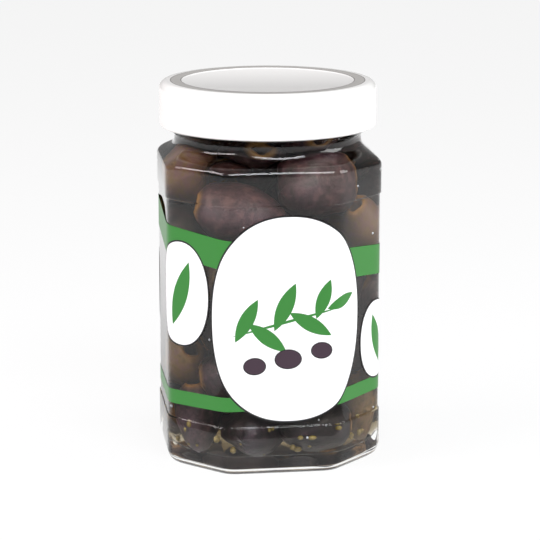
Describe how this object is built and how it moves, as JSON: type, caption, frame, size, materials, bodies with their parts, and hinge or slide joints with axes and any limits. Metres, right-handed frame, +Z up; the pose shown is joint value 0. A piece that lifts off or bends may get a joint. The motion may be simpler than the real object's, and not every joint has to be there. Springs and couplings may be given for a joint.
{
  "type": "jar of olives in oil",
  "caption": "Shut faceted glass jar of pitted dark olives in oil, with a deep white twist-off lid and a clear printed wrap label.",
  "frame": {"origin": "centre of the ring that the jar stands on, at the bottom", "axes": "+Z up along the jar's axis, the label's front towards -Y, +X to its right"},
  "size_m": [0.0688, 0.0688, 0.1206],
  "materials": {
    "clear_glass": "gloss",
    "lid_enamel": "gloss",
    "label_film": "gloss",
    "olive_oil": "gloss",
    "olive_skin": "satin"
  },
  "bodies": {
    "root": {"jar": "clear_glass", "lid": "lid_enamel", "label": "label_film", "oil": "olive_oil"}
  },
  "joints": []
}
